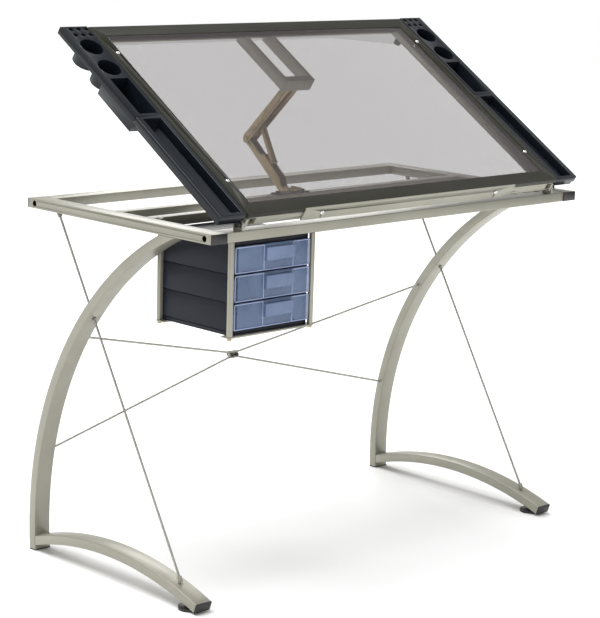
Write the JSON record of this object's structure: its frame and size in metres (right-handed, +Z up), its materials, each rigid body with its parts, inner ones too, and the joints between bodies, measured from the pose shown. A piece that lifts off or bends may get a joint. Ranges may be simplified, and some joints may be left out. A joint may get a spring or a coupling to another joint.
{
  "type": "drafting table",
  "caption": "Drafting and craft table with a tilting glass top on bowed steel legs, cable bracing, side trays, a sliding ledge and a hanging drawer cabinet.",
  "frame": {"origin": "on the floor, under the middle of the table's bounding box", "axes": "+X along the table's width, from the drawer side to the other; +Y from the user to the rear; +Z up"},
  "size_m": [1.1, 0.5928, 1.1204],
  "materials": {
    "pewter_paint": "satin metallic powder coat",
    "dark_frame_paint": "satin",
    "tray_plastic": "high gloss",
    "cabinet_plastic": "fine grain",
    "drawer_plastic": "clear frosted blue",
    "top_glass": "clear tempered",
    "zinc": "yellow zinc plate",
    "chrome_screw": "polished",
    "black_steel": "satin",
    "cable_wire": "twisted wire",
    "black_plastic": "semi-gloss",
    "black_rubber": "matte"
  },
  "bodies": {
    "table_frame": {"base_pin": "zinc", "cabinet_base": "cabinet_plastic", "cabinet_lid": "cabinet_plastic", "cabinet_module_1": "cabinet_plastic", "cabinet_module_2": "cabinet_plastic", "cabinet_module_3": "cabinet_plastic", "cable_clamp_plates": "pewter_paint", "cable_ferrules": "pewter_paint", "clamp_bolts": "black_steel", "cross_cable_lower": "cable_wire", "cross_cable_upper": "cable_wire", "foot_left": "pewter_paint", "foot_right": "pewter_paint", "frame_bolts": "black_steel", "front_rail": "pewter_paint", "hanger_bolts": "zinc", "hanger_posts": "pewter_paint", "hanger_straps": "pewter_paint", "hinge_brackets": "pewter_paint", "hinge_pins": "black_steel", "leg_left": "pewter_paint", "leg_pads": "black_rubber", "leg_right": "pewter_paint", "middle_rail_front": "pewter_paint", "middle_rail_rear": "pewter_paint", "rear_rail": "pewter_paint", "side_cable_left": "cable_wire", "side_cable_right": "cable_wire", "side_rail_left": "pewter_paint", "side_rail_right": "pewter_paint", "stay_base_bolts": "black_steel", "stay_base_bracket": "zinc", "stay_base_plate": "black_steel", "tube_end_caps": "black_plastic"},
    "tilting_top": {"frame_bar_front": "dark_frame_paint", "frame_bar_rear": "dark_frame_paint", "frame_bar_left": "dark_frame_paint", "frame_bar_right": "dark_frame_paint", "glass_panel": "top_glass", "top_rails": "pewter_paint", "top_screws": "chrome_screw", "hinge_ears": "pewter_paint", "rest_bumpers": "black_rubber", "ledge_screws": "chrome_screw", "lift_bracket": "pewter_paint", "front_tray_left": "tray_plastic", "front_tray_right": "tray_plastic", "rear_tray_left": "tray_plastic", "rear_tray_right": "tray_plastic"},
    "ledge": {"pencil_ledge": "pewter_paint"},
    "stay_lower_arm": {"lower_arm": "zinc"},
    "stay_upper_arm": {"upper_arm": "zinc", "upper_arm_pins": "zinc"},
    "stay_pawl": {"pawl_strut": "zinc"},
    "drawer_bottom": {"drawer_1": "drawer_plastic"},
    "drawer_middle": {"drawer_2": "drawer_plastic"},
    "drawer_top": {"drawer_3": "drawer_plastic"},
    "leveler_foot_left": {"leveler_left": "black_plastic"},
    "leveler_foot_right": {"leveler_right": "black_plastic"}
  },
  "joints": [
    {"name": "top_tilt", "type": "hinge", "parent": "table_frame", "child": "tilting_top", "pos_m": [0, -0.27159, 0.775], "axis": [1, 0, 0], "range_deg": [-33, 0]},
    {"name": "stay_base_pivot", "type": "hinge", "parent": "table_frame", "child": "stay_lower_arm", "pos_m": [-0.012, 0.0699, 0.752], "axis": [1, 0, 0], "range_deg": [-103, 0.1]},
    {"name": "stay_elbow", "type": "hinge", "parent": "stay_lower_arm", "child": "stay_upper_arm", "pos_m": [-0.012, 0.19842, 0.86404], "axis": [1, 0, 0], "range_deg": [-0.1, 64.5]},
    {"name": "pawl_pivot", "type": "hinge", "parent": "stay_upper_arm", "child": "stay_pawl", "pos_m": [-0.012, 0.16038, 0.90095], "axis": [1, 0, 0], "range_deg": [-86, 0.1]},
    {"name": "ledge_slide", "type": "slide", "parent": "tilting_top", "child": "ledge", "axis": [0, -0.5446, 0.8387], "range_m": [0, 0.013]},
    {"name": "drawer_bottom_slide", "type": "slide", "parent": "table_frame", "child": "drawer_bottom", "axis": [0, -1, 0], "range_m": [0, 0.15]},
    {"name": "drawer_middle_slide", "type": "slide", "parent": "table_frame", "child": "drawer_middle", "axis": [0, -1, 0], "range_m": [0, 0.15]},
    {"name": "drawer_top_slide", "type": "slide", "parent": "table_frame", "child": "drawer_top", "axis": [0, -1, 0], "range_m": [0, 0.15]},
    {"name": "leveler_left_turn", "type": "hinge", "parent": "table_frame", "child": "leveler_foot_left", "pos_m": [-0.526, -0.2166, 0], "axis": [0, 0, 1], "continuous": true},
    {"name": "leveler_right_turn", "type": "hinge", "parent": "table_frame", "child": "leveler_foot_right", "pos_m": [0.526, -0.2166, 0], "axis": [0, 0, 1], "continuous": true}
  ],
  "couplings": [
    {"joint": "stay_base_pivot", "follows": "top_tilt", "ratio": 3.1141},
    {"joint": "stay_elbow", "follows": "top_tilt", "ratio": -1.9411},
    {"joint": "pawl_pivot", "follows": "top_tilt", "ratio": 2.5949}
  ]
}
